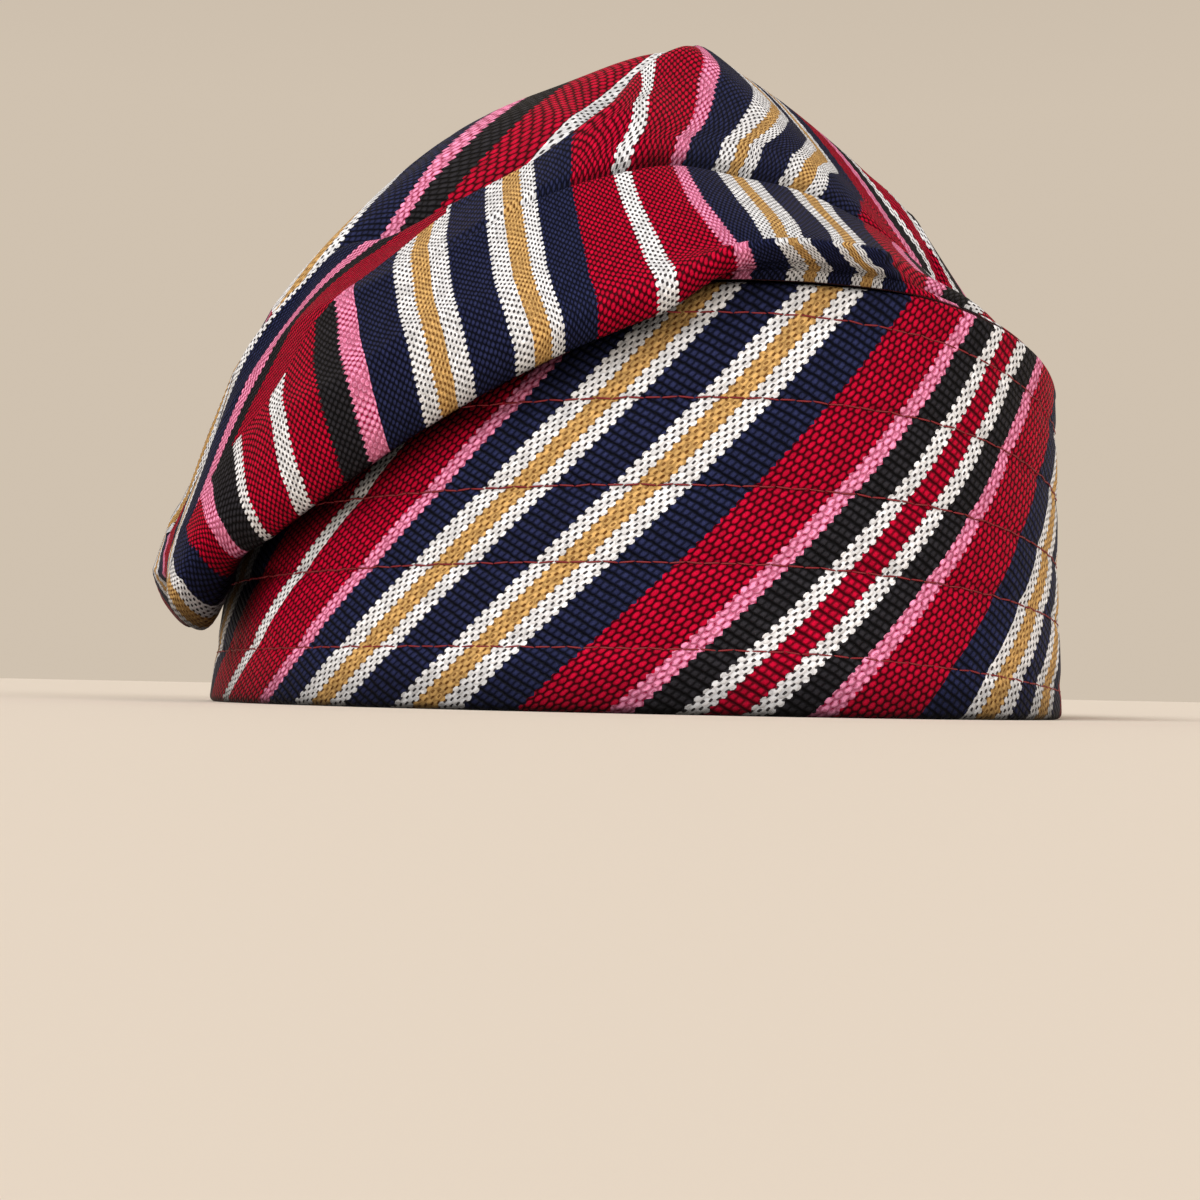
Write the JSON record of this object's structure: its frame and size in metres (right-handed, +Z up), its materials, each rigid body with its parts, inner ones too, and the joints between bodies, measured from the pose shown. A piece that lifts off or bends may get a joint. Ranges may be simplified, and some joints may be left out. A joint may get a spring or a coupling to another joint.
{
  "type": "fila cap",
  "caption": "Soft brimless cap of striped hand-woven cloth: a stiff quilted band around the head and a loose crown that folds into a pleat and hangs over one side as a flap.",
  "frame": {"origin": "middle of the cap's overall box, on the plane that the rim stands on", "axes": "+Z up from the rim to the crown; -Y towards the wearer's front; -X towards the wearer's right, where the flap hangs"},
  "size_m": [0.1778, 0.2032, 0.1409],
  "materials": {
    "band_cloth": "coarse striped weave, quilted",
    "crown_cloth": "coarse striped weave, soft"
  },
  "bodies": {
    "root": {"band": "band_cloth", "crown": "crown_cloth"}
  },
  "joints": []
}
